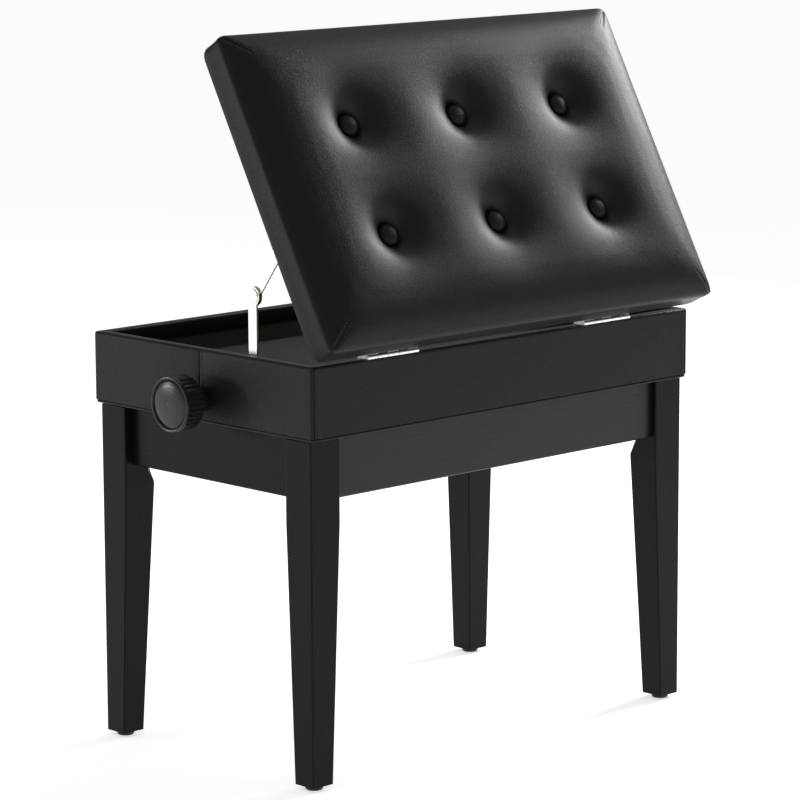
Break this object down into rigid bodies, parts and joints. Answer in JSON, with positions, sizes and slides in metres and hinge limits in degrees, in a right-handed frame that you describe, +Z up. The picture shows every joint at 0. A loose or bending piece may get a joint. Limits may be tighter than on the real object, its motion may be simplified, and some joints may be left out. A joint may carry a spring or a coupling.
{
  "type": "piano bench",
  "caption": "Adjustable piano bench with tapered legs, a leather storage box raised by side knobs on crossed arms, and a buttoned padded lid on butt hinges held open by a folding stay.",
  "frame": {"origin": "on the floor under the centre of the storage box", "axes": "+X along the long side, -Y the hinge side, +Z up"},
  "size_m": [0.634, 0.371, 0.7492],
  "materials": {
    "painted_wood": "satin espresso-black paint",
    "leather": "black grained faux leather, soft sheen",
    "cushion_leather": "black grained faux leather, soft sheen",
    "foam": "upholstery foam",
    "stained_wood": "dark-stained wood",
    "plywood": "plywood",
    "felt": "dark felt",
    "nickel": "bright nickel plate",
    "zinc": "zinc plated steel",
    "black_plastic": "moulded black plastic"
  },
  "bodies": {
    "frame": {"leg_back_left": "painted_wood", "leg_back_right": "painted_wood", "leg_front_left": "painted_wood", "leg_front_right": "painted_wood", "apron_back": "painted_wood", "apron_front": "painted_wood", "apron_left": "painted_wood", "apron_right": "painted_wood", "glides": "black_plastic", "corner_brackets": "zinc", "hanger_bolts": "zinc", "hanger_nuts": "zinc", "bracket_screws": "zinc", "lower_rail_back": "zinc", "lower_rail_front": "zinc", "lower_pivot_bar": "zinc", "lower_rail_screws": "zinc"},
    "seat_box": {"box_wall_back": "stained_wood", "box_wall_front": "stained_wood", "box_wall_left": "stained_wood", "box_wall_right": "stained_wood", "box_cover": "leather", "bottom_edging": "leather", "storage_floor": "plywood", "floor_felt": "felt", "corner_blocks": "stained_wood", "upper_rail_back": "zinc", "upper_rail_front": "zinc", "upper_pivot_pins": "zinc", "upper_rail_screws": "zinc", "knob_bushes": "black_plastic", "box_hinge_leaves": "nickel", "hinge_pins": "nickel", "box_hinge_screws": "nickel", "stay_wall_bracket": "nickel", "stay_wall_screws": "nickel"},
    "lid": {"lid_board": "plywood", "seat_foam": "foam", "cushion_cover": "cushion_leather", "tufting_buttons": "leather", "button_washers": "zinc", "dust_cover": "felt", "lid_hinge_leaves": "nickel", "lid_hinge_screws": "nickel", "stay_lid_bracket": "nickel", "stay_lid_screws": "nickel"},
    "stay_lower": {"stay_lower_arm": "nickel", "elbow_rivet": "nickel"},
    "stay_upper": {"stay_upper_arm": "nickel", "lid_pivot_rivet": "nickel"},
    "outer_arms": {"lift_outer_arms": "zinc", "centre_pins": "zinc"},
    "inner_arms": {"lift_inner_arms": "zinc", "slide_bar": "zinc"},
    "nut_bar": {"nut_bar": "zinc"},
    "lift_screw": {"lead_screw": "zinc", "shaft_collars": "zinc", "knob_left": "black_plastic", "knob_right": "black_plastic"}
  },
  "joints": [
    {"name": "seat_lift", "type": "slide", "parent": "frame", "child": "seat_box", "axis": [0, 0, 1], "range_m": [0, 0.075]},
    {"name": "lift_outer_arm_pivot", "type": "hinge", "parent": "frame", "child": "outer_arms", "pos_m": [-0.15841, 0, 0.335], "axis": [0, -1, 0], "range_deg": [0, 14.2]},
    {"name": "lift_inner_arm_pivot", "type": "hinge", "parent": "seat_box", "child": "inner_arms", "pos_m": [-0.15841, 0, 0.38], "axis": [0, 1, 0], "range_deg": [0, 14.2]},
    {"name": "nut_bar_pivot", "type": "hinge", "parent": "outer_arms", "child": "nut_bar", "pos_m": [0.15841, 0, 0.38], "axis": [0, 1, 0], "range_deg": [0, 14.2]},
    {"name": "knob_turn", "type": "hinge", "parent": "seat_box", "child": "lift_screw", "pos_m": [0, 0, 0.38], "axis": [1, 0, 0], "range_deg": [0, 3601]},
    {"name": "lid_hinge", "type": "hinge", "parent": "seat_box", "child": "lid", "pos_m": [0, -0.17, 0.434], "axis": [1, 0, 0], "range_deg": [-61.4, 0]},
    {"name": "stay_lower_pivot", "type": "hinge", "parent": "seat_box", "child": "stay_lower", "pos_m": [-0.2595, -0.065, 0.417], "axis": [1, 0, 0], "range_deg": [-96.5, 0]},
    {"name": "stay_elbow", "type": "hinge", "parent": "stay_lower", "child": "stay_upper", "pos_m": [-0.257, -0.065, 0.4905], "axis": [1, 0, 0], "range_deg": [0, 138.5]}
  ],
  "couplings": [
    {"joint": "lift_outer_arm_pivot", "follows": "seat_lift", "rad_per_m": 3.2441},
    {"joint": "lift_inner_arm_pivot", "follows": "seat_lift", "rad_per_m": 3.2441},
    {"joint": "nut_bar_pivot", "follows": "seat_lift", "rad_per_m": 3.2441},
    {"joint": "knob_turn", "follows": "seat_lift", "rad_per_m": 837.76},
    {"joint": "stay_lower_pivot", "follows": "lid_hinge", "ratio": 1.5645},
    {"joint": "stay_elbow", "follows": "lid_hinge", "ratio": -2.2467}
  ]
}
